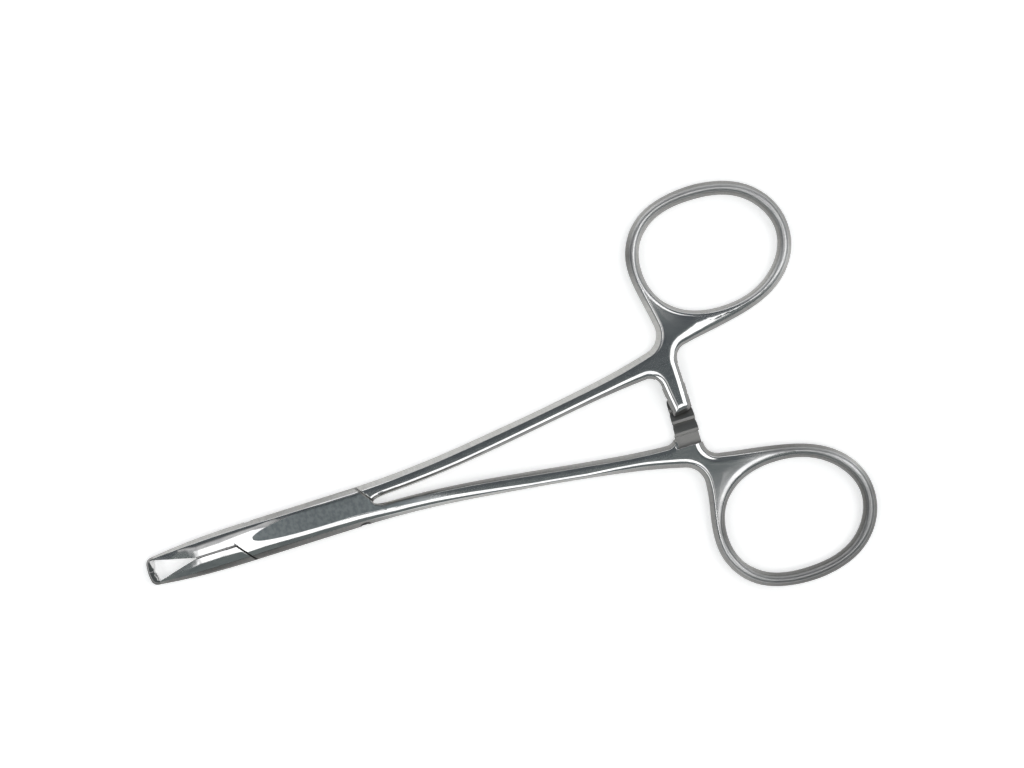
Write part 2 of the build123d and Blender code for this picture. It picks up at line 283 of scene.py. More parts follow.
def line(start, end):
    """A straight run between two points."""
    count = int(np.ceil(np.hypot(end[0] - start[0], end[1] - start[1]) / FINE)) + 1
    return np.linspace(start, end, count)


def tangents(points):
    """Unit directions along an open run of points."""
    along = np.gradient(points, axis=0)
    return along / np.linalg.norm(along, axis=1)[:, None]


def rounded(before, after, radius):
    """Two runs that meet at a corner, joined by an arc. Its centre is where the lines that lie one
    radius to the inside of the turn cross."""
    reach = int(CORNER_REACH * radius / FINE)
    first, second = before[-reach:], after[:reach]
    along_first, along_second = tangents(first), tangents(second)
    (x_in, y_in), (x_out, y_out) = along_first[-1], along_second[0]
    turn = np.sign(x_in * y_out - y_in * x_out)
    quarter = np.array([[0, 1], [-1, 0]]) * turn
    centres_first = first + radius * along_first @ quarter
    centres_second = second + radius * along_second @ quarter
    gaps = np.linalg.norm(centres_first[:, None] - centres_second[None], axis=2)
    i, j = np.unravel_index(gaps.argmin(), gaps.shape)
    centre = (centres_first[i] + centres_second[j]) / 2
    from_angle = np.arctan2(*(first[i] - centre)[::-1])
    to_angle = np.arctan2(*(second[j] - centre)[::-1])
    sweep = (to_angle - from_angle) * turn % (2 * pi) * turn
    angles = from_angle + sweep * np.linspace(0, 1, int(abs(sweep) * radius / FINE) + 2)
    arc = centre + radius * np.stack([np.cos(angles), np.sin(angles)], axis=1)
    return np.vstack([before[: len(before) - len(first) + i], arc]), after[j + 1 :]


def ring_opening(ring_x):
    """The opening of a ring: a closed curve through eight points of an ellipse, the four on its
    diagonals moved in or out."""
    turns = np.radians(45 * np.arange(8))
    factors = np.ones(8)
    factors[1::2] = RING_CORNERS
    x = ring_x + factors * RING_LENGTH / 2 * np.cos(turns)
    y = RING_Y + factors * RING_WIDTH / 2 * np.sin(turns)
    return curve(np.stack([x, y], axis=1), closed=True)


def ring_outside(opening):
    """Points one band width out from the opening, at even shares of its run."""
    places = np.round(RING_TURNS % 360 / 360 * (len(opening) - 1)).astype(int)
    along = tangents(opening)[places]
    return opening[places] + RING_BAND * np.stack([along[:, 1], -along[:, 0]], axis=1)


def arm_outline(ring_x, narrowing):
    """The outline of an arm with its shank on +Y, clockwise from the rear of the box, with rounded
    corners, and the opening of its ring the other way round."""
    opening = ring_opening(ring_x)
    outer = [(x, y + half) for x, y, half in SHANK]
    inner = [(x, y - half) for x, y, half in SHANK]
    box_rear = (SHANK_START_X, BOX_HALF_WIDTH)
    jaw_root, far_jaw_root = (JAW_STRAIGHT_X, BOX_HALF_WIDTH), (JAW_STRAIGHT_X, -BOX_HALF_WIDTH)
    far_tip, far_middle = (TIP[0], -TIP[1]), (JAW_MIDDLE[0], -JAW_MIDDLE[1])
    end_centre = (TIP_REACH**2 - TIP[0] ** 2 - TIP[1] ** 2) / (2 * (TIP_REACH - TIP[0]))
    end_angle = atan(TIP[1] / (TIP[0] - end_centre))
    angles = np.linspace(end_angle, -end_angle, int(2 * TIP[1] / FINE))
    end = np.stack([np.cos(angles), np.sin(angles)], axis=1) * (TIP_REACH - end_centre)
    finger_root = (FINGER_FRONT_X, FINGER_ROOT_Y)
    finger_corner = (FINGER_FRONT_X - narrowing, -FINGER_REACH)
    finger_round = (FINGER_REAR_X, FINGER_SLANT - FINGER_REACH)
    neck_rear = (FINGER_REAR_X, NECK_REAR_Y)
    neck_near = (ring_x + NECK_SWELL[0], NECK_SWELL[1])
    neck_far = (ring_x + NECK_FAR[0], NECK_FAR[1])
    around_ring = [neck_rear, neck_near, *ring_outside(opening), neck_far, NECK_FRONT]
    far_rear = (CROTCH[0], -BOX_HALF_WIDTH)
    runs = [
        (line(box_rear, jaw_root), 0),
        (curve([jaw_root, JAW_MIDDLE, TIP], (1, 0), (1, -JAW_END_SLOPE)), TIP_RADIUS),
        (end + (end_centre, 0), TIP_RADIUS),
        (curve([far_tip, far_middle, far_jaw_root], (-1, -JAW_END_SLOPE), (-1, 0)), 0),
        (line(far_jaw_root, far_rear), 0),
        (line(far_rear, CROTCH), 0),
        (curve([CROTCH, *inner, finger_root]), FINGER_ROOT_RADIUS),
        (line(finger_root, finger_corner), FINGER_POINT_RADIUS),
        (line(finger_corner, finger_round), FINGER_END_RADIUS),
        (line(finger_round, neck_rear), NECK_REAR_RADIUS),
        (curve(around_ring), NECK_FRONT_RADIUS),
        (curve([NECK_FRONT, *outer[::-1], box_rear]), 0),
    ]
    outline, radius = runs[0]
    for following, next_radius in runs[1:]:
        if radius:
            outline, following = rounded(outline, following, radius)
        outline = np.vstack([outline, following[1:]])
        radius = next_radius
    return outline[:-1], opening[:-1]


def guide(loop, sections, closed=True):
    """Even samples along a run: points, normals to its right, places along it, and the section at
    each, from straight runs of values between the places nearest to the rows of the table."""
    ends = np.vstack([loop, loop[:1]]) if closed else loop
    at = np.concatenate([[0], np.cumsum(np.linalg.norm(np.diff(ends, axis=0), axis=1))])
    length = at[-1]
    places = np.arange(int(length / STEP)) * length / int(length / STEP)
    points = np.stack([np.interp(places, at, ends[:, axis]) for axis in (0, 1)], axis=1)
    if closed:
        along = np.roll(points, -1, axis=0) - np.roll(points, 1, axis=0)
    else:
        along = np.gradient(points, axis=0)
    along /= np.linalg.norm(along, axis=1)[:, None]
    if closed:
        along = along + (np.roll(along, -1, axis=0) + np.roll(along, 1, axis=0)) / 2
        along /= np.linalg.norm(along, axis=1)[:, None]
    rows = np.array(sections)
    spots = np.linalg.norm(points[None] - rows[:, None, :2], axis=2).argmin(axis=1)
    order = np.argsort(spots)
    known, rows = places[spots[order]], rows[order, 2:]
    values = [np.interp(places, known, column, period=length) for column in rows.T]
    return points, np.stack([along[:, 1], -along[:, 0]], axis=1), places, np.stack(values, axis=1)


def drop(inward, section, steep):
    """How far the surface lies under its flat face, from the distance in from the outline. The
    slope is constant on the bevel, runs down over the ridge to the crown's, and from there to
    nothing."""
    inset, bend, slope, width = section[:, [INSET, ROUND, SLOPE, WIDTH]].T
    crown = slope * width / 2 * (1 - np.clip((inward - inset - bend) / width, 0, 1)) ** 2
    turn = np.clip((inset + bend - inward) / (2 * bend), 0, 1)
    bevel = steep * np.maximum(inset - bend - inward, 0)
    return crown + 2 * bend * (slope * turn + (steep - slope) / 2 * turn**2) + bevel


def height(points, inward, section, side):
    """The height of the upper surface: the face, leaning on the jaws, less the drop. The bevel is
    as steep as it takes to reach its foot at the outline."""
    rows, lean = np.array(FACE_HEIGHTS), np.array(LEAN)
    face = MIDDLE + np.interp(points[:, 0], rows[:, 0], rows[:, 1])
    face -= np.interp(points[:, 0], lean[:, 0], lean[:, 1]) * points[:, 1] * side
    foot, inset, bend, slope, width = section[:, [FOOT, INSET, ROUND, SLOPE, WIDTH]].T
    steep = (face - foot - slope * width / 2 - bend * slope) / inset
    return np.maximum(face - drop(inward, section, steep), MIDDLE + RIM)


def nearest(points, outline, normals):
    """For each point, the nearest outline sample and the distance in from it, negative outside."""
    index = np.empty(len(points), int)
    batches = max(1, len(points) // NEAREST_BATCH)
    for part in np.array_split(np.arange(len(points)), batches):
        across, up = (points[part, None, axis] - outline[None, :, axis] for axis in (0, 1))
        index[part] = (across**2 + up**2).argmin(axis=1)
    offset = points - outline[index]
    distance = np.linalg.norm(offset, axis=1)
    return index, distance * np.sign((offset * normals[index]).sum(axis=1))


def blank(node, ring_x, narrowing, side):
    """The forged blank of one arm: its height comes from the distance in from the outline, on rows
    that follow the outline and a grid between them, and its underside is the mirror image."""
    outer, opening = arm_outline(ring_x, narrowing)
    turns = np.linspace(0, pi / 2, CROTCH_POINTS)
    crotch_x, crotch_y = CROTCH[0] + CROTCH_LENGTH * np.cos(turns), CROTCH[1] * np.sin(turns)
    crotch = np.stack([crotch_x, crotch_y], axis=1)
    loops = [guide(outer, SECTIONS[node]), guide(opening, OPENING_SECTIONS[node])]
    outline, into = (np.concatenate([loop[part] for loop in loops]) for part in (0, 1))
    guides = [*loops, guide(crotch, CROTCH_SECTIONS[node], closed=False)]
    parts = [np.concatenate(part) for part in zip(*guides)]
    x, y = parts[0].T
    shaped = (abs(x - CROTCH[0]) > STEP) | (y > CROTCH[1] - STEP)
    points, normals, places, sections = (part[shaped] for part in parts)

    inset, bend, width = sections[:, [INSET, ROUND, WIDTH]].T
    depths = [0 * inset, 0.5 * (inset - bend)]
    depths += [inset - bend, inset - bend / 2, inset, inset + bend / 2]
    depths += [inset + bend + share * width for share in CROWN_ROWS]
    rows = np.vstack([points + depth[:, None] * normals for depth in depths])
    row_depths = np.concatenate(depths)
    row_index = np.tile(np.arange(len(points)), len(depths))
    true_rows = nearest(rows, points, normals)[1] > row_depths - ROW_SLACK

    low, high = outline.min(axis=0), outline.max(axis=0)
    columns = np.arange(low[0], high[0], GRID)
    x, y = np.meshgrid(columns, np.arange(low[1], high[1], GRID * sin(pi / 3)))
    x = x + GRID / 2 * (np.arange(len(x)) % 2)[:, None]
    grid = np.stack([x.ravel(), y.ravel()], axis=1)
    grid_index, grid_depths = nearest(grid, points, normals)
    kept = grid_depths > (inset + bend + width)[grid_index] + GRID / 2

    rim = outline - RIM * into
    rim_index, rim_depths = nearest(rim, points, normals)
    spots = np.vstack([rim, rows[true_rows], grid[kept]])
    index = np.concatenate([rim_index, row_index[true_rows], grid_index[kept]])
    inward = np.concatenate([rim_depths, row_depths[true_rows], grid_depths[kept]])
    top = height(spots, inward, sections[index], side)

    start, edges = 0, []
    for loop in loops:
        ring = np.arange(start, start + len(loop[0]))
        edges.append(np.stack([ring, np.roll(ring, -1)], axis=1))
        start += len(ring)
    edges = np.vstack(edges).tolist()
    faces = np.array(delaunay_2d_cdt(spots.tolist(), edges, [], 0, MERGED, False)[2])
    centres = spots[faces].mean(axis=1)
    faces = faces[nearest(centres, outline, into)[1] > -RIM]
    first, second, third = (spots[faces[:, corner]] for corner in range(3))
    area = np.cross(second - first, third - first)
    faces[area < 0] = faces[area < 0][:, ::-1]

    count = len(spots)
    sides = np.vstack([faces[:, [0, 1]], faces[:, [1, 2]], faces[:, [2, 0]]])
    keys = np.sort(sides, axis=1) @ (count, 1)
    once, uses = np.unique(keys, return_index=True, return_counts=True)[1:]
    border = sides[once[uses == 1]]
    wall = np.stack([border[:, 1], border[:, 0], border[:, 0] + count], axis=1)
    wall_end = np.stack([border[:, 1], border[:, 0] + count, border[:, 1] + count], axis=1)
    corners = np.vstack([faces, faces[:, ::-1] + count, wall, wall_end])
    upper, under = (np.column_stack([spots, level]) for level in (top, 2 * MIDDLE - top))
    vertices = np.vstack([upper, under])
    if side < 0:
        vertices, corners = vertices * (1, -1, 1), corners[:, ::-1]
    return vertices, corners, (points, normals, places, sections)


def mesh_object(name, vertices, faces):
    """A mesh object from vertices in millimetres and triangles."""
    mesh = bpy.data.meshes.new(name)
    mesh.from_pydata((np.asarray(vertices) * MM).tolist(), [], np.asarray(faces).tolist())
    mesh.validate()
    made = bpy.data.objects.new(name, mesh)
    bpy.context.scene.collection.objects.link(made)
    return made


def merged_copy(node):
    """A copy of a CAD node's mesh with its doubled corners merged."""
    copy = bpy.data.objects.new(node + "_copy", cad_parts[node].data.copy())
    bpy.context.scene.collection.objects.link(copy)
    work = bmesh.new()
    work.from_mesh(copy.data)
    bmesh.ops.remove_doubles(work, verts=work.verts, dist=MERGED)
    work.to_mesh(copy.data)
    work.free()
    return copy


def forged_arm(node, body, ring_x, narrowing, side):
    """The visible arm: the blank, kept only where the CAD arm has metal."""
    vertices, faces, guides = blank(node, ring_x, narrowing, side)
    arm = mesh_object(node + "_forged", vertices, faces)
    cutter = merged_copy(node)
    boolean = arm.modifiers.new("cuts", "BOOLEAN")
    boolean.operation = "INTERSECT"
    boolean.solver = "MANIFOLD"
    boolean.object = cutter
    bpy.context.view_layer.update()
    evaluated = arm.evaluated_get(bpy.context.evaluated_depsgraph_get())
    mesh = bpy.data.meshes.new_from_object(evaluated)
    arm.modifiers.clear()
    arm.data = mesh
    bpy.data.objects.remove(cutter)
    without_slivers(mesh)
    close_hooks(mesh)
    mesh.shade_smooth()
    mesh.set_sharp_from_angle(angle=SHARP)
    flatten_rack(mesh)
    mark_finish(mesh, guides, side)
    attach(arm, body)
    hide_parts(node)
    return arm


def without_slivers(mesh):
    """Merges corners that the cut left closer than a sliver's width, and dissolves the faces that
    have no width."""
    work = bmesh.new()
    work.from_mesh(mesh)
    bmesh.ops.remove_doubles(work, verts=work.verts, dist=SLIVER * MM)
    bmesh.ops.dissolve_degenerate(work, edges=work.edges, dist=SLIVER * MM)
    bmesh.ops.triangulate(work, faces=[face for face in work.faces if len(face.verts) > 3])
    work.to_mesh(mesh)
    work.free()


def close_hooks(mesh):
    """Brings the meeting faces of the two hooks to a hair from the middle, as they touch when
    closed."""
    spots = np.empty(3 * len(mesh.vertices), np.float32)
    mesh.vertices.foreach_get("co", spots)
    spots = spots.reshape(-1, 3) / MM
    meeting = (spots[:, 0] > HOOK_X) & (abs(spots[:, 1]) < CLOSING_GAP)
    spots[meeting, 1] = np.sign(spots[meeting, 1]) * HAIR
    mesh.vertices.foreach_set("co", (spots * MM).ravel())
    mesh.update()


def flatten_rack(mesh):
    """Flat shading on the faces of the rack, so that its teeth keep their edges."""
    centres = np.empty(3 * len(mesh.polygons), np.float32)
    mesh.polygons.foreach_get("center", centres)
    x, y, z = centres.reshape(-1, 3).T / MM
    rack = (x < RACK_FRONT_X) & (x > FINGER_REAR_X + RACK_MARGIN) & (abs(z - MIDDLE) < RACK_BAND)
    rack &= abs(y) < RACK_REACH
    mesh.polygons.foreach_set("use_smooth", ~rack)


def mark_finish(mesh, guides, side):
    """Four values at each vertex: how far in from the outline it lies as a share of the way to
    the ridge, the millimetres run along the outline, how bright the bevel is, with painted light
    set by side and place in it, and how satin the crown."""
    points, normals, places, sections = guides
    flat = np.empty(3 * len(mesh.vertices), np.float32)
    mesh.vertices.foreach_get("co", flat)
    index, depth = nearest(flat.reshape(-1, 3)[:, :2] / MM * (1, side), points, normals)
    section = sections[index]
    marks = {
        "inward": depth / section[:, INSET],
        "along": places[index],
        "tone_and_painted_light": section[:, TONE_AND_PAINTED_LIGHT],
        "satin": section[:, SATIN],
    }
    for name, values in marks.items():
        layer = mesh.attributes.new(name, "FLOAT", "POINT")
        layer.data.foreach_set("value", values.astype(np.float32))


class Socket:
    """A shader socket that takes arithmetic: each operator adds a Math node."""

    def __init__(self, tree, socket):
        self.tree, self.socket = tree, socket

    def math(self, operation, *inputs):
        return self.tree.node("ShaderNodeMath", {"operation": operation}, dict(enumerate(inputs)))

    def __add__(self, other):
        return self.math("ADD", self, other)

    def __sub__(self, other):
        return self.math("SUBTRACT", self, other)

    def __rsub__(self, other):
        return self.math("SUBTRACT", other, self)

    def __mul__(self, other):
        return self.math("MULTIPLY", self, other)

    def __truediv__(self, other):
        return self.math("DIVIDE", self, other)

    def __rtruediv__(self, other):
        return self.math("DIVIDE", other, self)

    def __pow__(self, other):
        return self.math("POWER", self, other)

    def __abs__(self):
        return self.math("ABSOLUTE", self)

    __radd__, __rmul__ = __add__, __mul__

    def least(self, other):
        return self.math("MINIMUM", self, other)

    def most(self, other):
        return self.math("MAXIMUM", self, other)

    def rise(self, low, high):
        """0 up to low, 1 from high on, smooth between."""
        inputs = {"Value": self, "From Min": low, "From Max": high}
        return self.tree.node("ShaderNodeMapRange", {"interpolation_type": "SMOOTHSTEP"}, inputs)

    def within(self, low, high, edge):
        """1 between low and high, 0 outside, with soft edges."""
        return self.rise(low - edge, low + edge) * (1.0 - self.rise(high - edge, high + edge))


class Tree:
    """The nodes of a material or world."""

    def __init__(self, owner):
        owner.use_nodes = True
        self.nodes, self.links = owner.node_tree.nodes, owner.node_tree.links
        self.nodes.clear()

    def node(self, kind, settings=None, inputs=None, output=0):
        """One node of any type, with its settings, then the values or links of its sockets."""
        made = self.nodes.new(kind)
        for name, value in (settings or {}).items():
            setattr(made, name, value)
        for name, value in (inputs or {}).items():
            if isinstance(value, Socket):
                self.links.new(value.socket, made.inputs[name])
            else:
                made.inputs[name].default_value = value
        return Socket(self, made.outputs[output]) if made.outputs else None

    def mixed(self, share, first, second):
        """A colour between two colours."""
        inputs = {"Factor": share, 6: first, 7: second}
        return self.node("ShaderNodeMix", {"data_type": "RGBA"}, inputs, 2)

    def place(self, marks=(1, 1, 1)):
        """Object coordinates in millimetres, times the marks per millimetre along each axis."""
        spot = self.node("ShaderNodeTexCoord", output=3)
        inputs = {"Vector": spot, "Scale": tuple(count / MM for count in marks)}
        return self.node("ShaderNodeMapping", {"vector_type": "POINT"}, inputs)

    def split(self, vector):
        """The three parts of a vector."""
        made = self.nodes.new("ShaderNodeSeparateXYZ")
        self.links.new(vector.socket, made.inputs[0])
        return [Socket(self, part) for part in made.outputs]

    def joined(self, x, y, z):
        """A vector from three parts."""
        return self.node("ShaderNodeCombineXYZ", {}, {0: x, 1: y, 2: z})

    def noise(self, vector, detail=2.0, roughness=0.5):
        """Smooth noise about 0.5."""
        inputs = {"Vector": vector, "Scale": 1.0, "Detail": detail, "Roughness": roughness}
        return self.node("ShaderNodeTexNoise", {}, inputs)

    def mark(self, name):
        """One of the values that mark_finish wrote on the mesh."""
        return self.node("ShaderNodeAttribute", {"attribute_name": name}, output=2)


POLISHED = (0.61, 0.61, 0.605, 1)
POLISHED_DULL = (0.42, 0.425, 0.44, 1)
BLASTED = (0.18, 0.20, 0.205, 1)
BLASTED_DARK = (0.135, 0.152, 0.158, 1)
# The patch's tail: partly its own blasted tone, partly a painted reflection of the polished crown
# there
BLASTED_TAIL_AND_SHEEN = (0.195, 0.22, 0.23, 1)
MILLED = (0.23, 0.228, 0.222, 1)
# Near black for painted shade on the hooks' ends, in the slot's end and in the gaps, and for dirt
# in the joints
PAINTED_SHADE_AND_GRIME = (0.025, 0.024, 0.023, 1)

# Roughness of each finish, and what grinding, satin, smudges and tool marks add to it
ROUGH_POLISHED = 0.09
GRINDING_ADDS = 0.21
SATIN_ADDS = 0.30
SMUDGES_ADD = 0.06
ROUGH_BLASTED = 0.46
ROUGH_MILLED = 0.38
TOOL_ADDS = 0.2
ROUGH_WORN = 0.45
ROUGH_SEAMS = 0.6

# Marks per millimetre: along X, Y and Z, and on the bevels along the outline, inwards and along Z
GRINDING_MARKS = (5.0, 0.5, 0.5)
POLISHING_MARKS = (0.25, 3.0, 0.5)
SMUDGES = (0.22, 0.6, 0.5)
CLOUDS = (1.5, 1.2, 0.8)
SPECKS = (5.0, 5.0, 5.0)
TOOL_MARKS = (0.5, 6.0, 3.0)
# Detail and roughness of the noise
GRAIN_NOISE = (3.0, 0.6)
SMUDGE_NOISE = (4.0, 0.65)
CLOUD_NOISE = (4.0, 0.5)
# Depth of the marks
GRAIN_DEPTH = 0.0016
SPECK_DEPTH = 0.012
TOOL_DEPTH = 0.008

# The ground finish gives way to the polish over these shares of the way to the ridge. Ground and
# satin steel are as bright as their tone with its painted light times these factors, more or less
# streaks and smudges
BEVEL_END = (0.92, 1.08)
GROUND_LIGHT = 0.94
GROUND_STREAKS = 0.5
GROUND_SMUDGES = 0.3
GROUND_RED = 1.01
GROUND_BLUE = 0.97
SATIN_LIGHT = 1.5
SATIN_STREAKS = 0.8
SATIN_SHARE = 0.85
SMUDGED = (0.35, 0.7)
SMUDGED_SHARE = 0.7
CLOUDED = (0.35, 0.65)
# Painted shade on the hooks' ends: it darkens them over this run of X, by this share, for the dark
# their sloping ends reflect
HOOK_PAINTED_SHADE = (HOOK_X, 27.9)
HOOK_PAINTED_SHADE_SHARE = 0.5

# The blasted patch: where it is full, its front and its end, its middle line, how far each side is
# from that line with the two powers of its curve, and the tail's drift in Y
PATCH_FULL_X = -6.0
PATCH_FRONT_X = 9.75
PATCH_END_X = -29.0
PATCH_FADE = 13.0
PATCH_Y = -0.45
PATCH_UPPER = (1.88, 2.8, 0.66)
PATCH_LOWER = (1.75, 2.05, 0.35)
PATCH_EDGE = 0.07
PATCH_FRONT_EDGE = 0.08
TAIL_X = -10.0
TAIL_DRIFT = 0.105
# Where the tail turns paler and over how far, a painted reflection of the polished crown
TAIL_PALES = (-11.0, 8.0)
BOX_TOP = (3.2, 3.5)

# The joints that show as dark lines, partly dirt in them and partly painted shade of the gap
# between the arms: how dark they are, the closing line of the jaws, and the shoulders that slant
# across the arms before and behind the box. A shoulder crosses the middle at its axis X, both have
# one slope, and SHOULDER_SHARE turns a distance along Y into one across them
SEAM_SHARE = 0.9
CLOSING_X = (12.8, 20.3)
CLOSING_LINE = (0.13, 0.23)
CLOSING_TOP = (3.0, 3.3)
SHOULDER_X = (9.8, 13.1)
SHOULDER_LINE = (0.12, 0.22)
SHOULDER_AXIS_X = 12.9
SHOULDER_SLOPE = 1.2727
SHOULDER_SHARE = 0.618
JOINT_EDGE = 0.1
UPPER_HALF = (1.9, 2.1)
REAR_X = (-12.7, -9.9)
REAR_AXIS_X = 12.8
REAR_BAND = (-0.3, 0.26)
REAR_EDGE = 0.05
# Painted shadow in the end of the slot on the side of the box, an ellipse: its middle, half
# lengths, soft edge and lower end
SLOT_END = (-10.0, 3.3)
SLOT_END_HALVES = (0.95, 0.32)
SLOT_END_EDGE = (0.7, 1.1)
SLOT_END_LOW = (1.9, 2.0)

# The milled faces of the ratchet: along X, their outer end, their heights on either arm, how soft
# their edges are, and how far they have to face the other arm
RACK_X = (-71.4, RACK_FRONT_X)
RACK_END_Y = 7.35
RACK_TOP = (1.05, 2.05)
RACK_UNDER = (1.83, 2.75)
RACK_EDGES = (0.05, 0.03)
RACK_FACING = (0.2, 0.3)


def blasted_patch(x, y, z):
    """The matt patch on the box: straight sides, a round front, and a tail that runs out in the
    shank. Towards the front each side closes in on the middle line: its distance is its full reach
    times a power of one less another power of the share of the way to the front."""
    share = ((x - PATCH_FULL_X) / (PATCH_FRONT_X - PATCH_FULL_X)).most(0.0).least(1.0)
    upper, lower = (
        (1.0 - share**bow).most(0.0) ** fullness * reach
        for reach, bow, fullness in (PATCH_UPPER, PATCH_LOWER)
    )
    upper = PATCH_Y - upper
    lower = PATCH_Y + lower + (TAIL_X - x).most(0.0) * TAIL_DRIFT
    inside = (y - upper).rise(-PATCH_EDGE, PATCH_EDGE) * (lower - y).rise(-PATCH_EDGE, PATCH_EDGE)
    front = (PATCH_FRONT_X - x).rise(0.0, PATCH_FRONT_EDGE)
    return inside * front * (x - PATCH_END_X).rise(0.0, PATCH_FADE) * z.rise(*BOX_TOP)


def seams(x, y, z):
    """Where the joints between the two arms show as dark lines on the upper side, partly dirt and
    partly painted shade of the gap between them: close to the middle between the jaws, and close to
    the slanted line of the shoulder before the box."""
    closing = x.within(*CLOSING_X, JOINT_EDGE) * (1.0 - abs(y).rise(*CLOSING_LINE))
    closing = closing * z.rise(*CLOSING_TOP)
    across = abs((SHOULDER_AXIS_X - x) * SHOULDER_SLOPE - y) * SHOULDER_SHARE
    shoulder = x.within(*SHOULDER_X, JOINT_EDGE) * (1.0 - across.rise(*SHOULDER_LINE))
    return closing.most(shoulder * z.rise(*UPPER_HALF))


def polished_and_ground(tree, x, z):
    """Colour, roughness and height of the steel: smooth noise stretched along X on the polished
    faces and across the outline on the ground bevels, satin rings, and painted shade darkening the
    ends of the hooks."""
    inward, along, tone_and_painted_light, satin = map(tree.mark, ("inward", "along", "tone_and_painted_light", "satin"))
    bevel = 1.0 - inward.rise(*BEVEL_END)
    marks = [part * scale for part, scale in zip((along, inward, z), GRINDING_MARKS)]
    across = tree.noise(tree.joined(*marks), *GRAIN_NOISE)
    polish = tree.noise(tree.place(POLISHING_MARKS), *GRAIN_NOISE)
    smudge = tree.noise(tree.place(SMUDGES), *SMUDGE_NOISE)
    light = GROUND_LIGHT + (across - 0.5) * GROUND_STREAKS + (smudge - 0.5) * GROUND_SMUDGES
    # The tone carries painted light: lighter or darker by side and place on the outline, for satin
    # crowns too
    light = tone_and_painted_light * light
    ground = tree.joined(light * GROUND_RED, light, light * GROUND_BLUE)
    brushed = tone_and_painted_light * (SATIN_LIGHT + (polish - 0.5) * SATIN_STREAKS)
    color = tree.mixed(smudge.rise(*SMUDGED) * SMUDGED_SHARE, POLISHED, POLISHED_DULL)
    color = tree.mixed(satin * SATIN_SHARE, color, tree.joined(brushed, brushed, brushed))
    color = tree.mixed(bevel, color, ground)
    # Painted shade on the ends of the hooks
    color = tree.mixed(x.rise(*HOOK_PAINTED_SHADE) * HOOK_PAINTED_SHADE_SHARE, color, PAINTED_SHADE_AND_GRIME)
    roughness = ROUGH_POLISHED + bevel * GRINDING_ADDS + satin * (1.0 - bevel) * SATIN_ADDS
    roughness = roughness + (smudge - 0.5) * SMUDGES_ADD
    grain = across * bevel + polish * (1.0 - bevel)
    return color, roughness, grain * GRAIN_DEPTH


def with_patch(tree, x, y, z, color, roughness, height):
    """The same with the blasted patch, a painted shadow in the slot's end as a dark ellipse on the
    box's side, and the worn shoulder behind the box as a slanted band."""
    mask = blasted_patch(x, y, z)
    cloud = tree.noise(tree.place(CLOUDS), *CLOUD_NOISE)
    speck = tree.noise(tree.place(SPECKS))
    blasted = tree.mixed(cloud.rise(*CLOUDED), BLASTED_DARK, BLASTED)
    # The tail paler: partly its own tone, partly painted reflection
    from_x, over = TAIL_PALES
    blasted = tree.mixed((from_x - x).rise(0.0, over), blasted, BLASTED_TAIL_AND_SHEEN)
    color = tree.mixed(mask, color, blasted)
    roughness = roughness * (1.0 - mask) + mask * ROUGH_BLASTED
    height = height * (1.0 - mask) + speck * mask * SPECK_DEPTH
    # Painted shadow in the end of the slot
    (middle_x, middle_y), (half_x, half_y) = SLOT_END, SLOT_END_HALVES
    slot_shadow = ((x - middle_x) / half_x) ** 2.0 + ((y - middle_y) / half_y) ** 2.0
    slot_shadow = (1.0 - slot_shadow.rise(*SLOT_END_EDGE)) * z.rise(*SLOT_END_LOW)
    color = tree.mixed(slot_shadow, color, PAINTED_SHADE_AND_GRIME)
    rear = ((x + REAR_AXIS_X) * SHOULDER_SLOPE + y) * SHOULDER_SHARE
    worn = rear.within(*REAR_BAND, REAR_EDGE) * x.within(*REAR_X, JOINT_EDGE)
    worn = worn * z.rise(*UPPER_HALF)
    color = tree.mixed(worn, color, MILLED)
    return color, roughness.most(worn * ROUGH_WORN), height


def with_rack(tree, x, y, z, side, color, roughness, height):
    """The same with the milled ratchet, whose faces look up on one arm and down on the other."""
    edge_x, edge_z = RACK_EDGES
    band = z.within(*(RACK_TOP if side > 0 else RACK_UNDER), edge_z)
    facing = tree.split(tree.node("ShaderNodeTexCoord", output=1))[2] * side
    mask = x.within(*RACK_X, edge_x) * (RACK_END_Y - y * side).rise(-edge_x, edge_x) * band
    mask = mask * facing.rise(*RACK_FACING)
    tool = tree.noise(tree.place(TOOL_MARKS))
    color = tree.mixed(mask, color, MILLED)
    roughness = roughness * (1.0 - mask) + mask * (ROUGH_MILLED + (tool - 0.5) * TOOL_ADDS)
    return color, roughness, height * (1.0 - mask) + tool * mask * TOOL_DEPTH


def steel(name, patch=False, rack=0):
    """Polished steel with its seams, and where asked the blasted patch and the milled ratchet."""
    material = bpy.data.materials.new(name)
    tree = Tree(material)
    x, y, z = tree.split(tree.place())
    color, roughness, height = polished_and_ground(tree, x, z)
    if patch:
        color, roughness, height = with_patch(tree, x, y, z, color, roughness, height)
    # The joints darkened: partly dirt, partly painted shade of the gap between the arms
    dark = seams(x, y, z)
    color = tree.mixed(dark * SEAM_SHARE, color, PAINTED_SHADE_AND_GRIME)
    roughness = roughness.most(dark * ROUGH_SEAMS)
    if rack:
        color, roughness, height = with_rack(tree, x, y, z, rack, color, roughness, height)
    bump = tree.node("ShaderNodeBump", {}, {"Strength": 1.0, "Distance": MM, "Height": height})
    inputs = {"Base Color": color, "Metallic": 1.0, "Roughness": roughness, "Normal": bump}
    surface = tree.node("ShaderNodeBsdfPrincipled", {}, inputs)
    tree.node("ShaderNodeOutputMaterial", {}, {"Surface": surface})
    return material


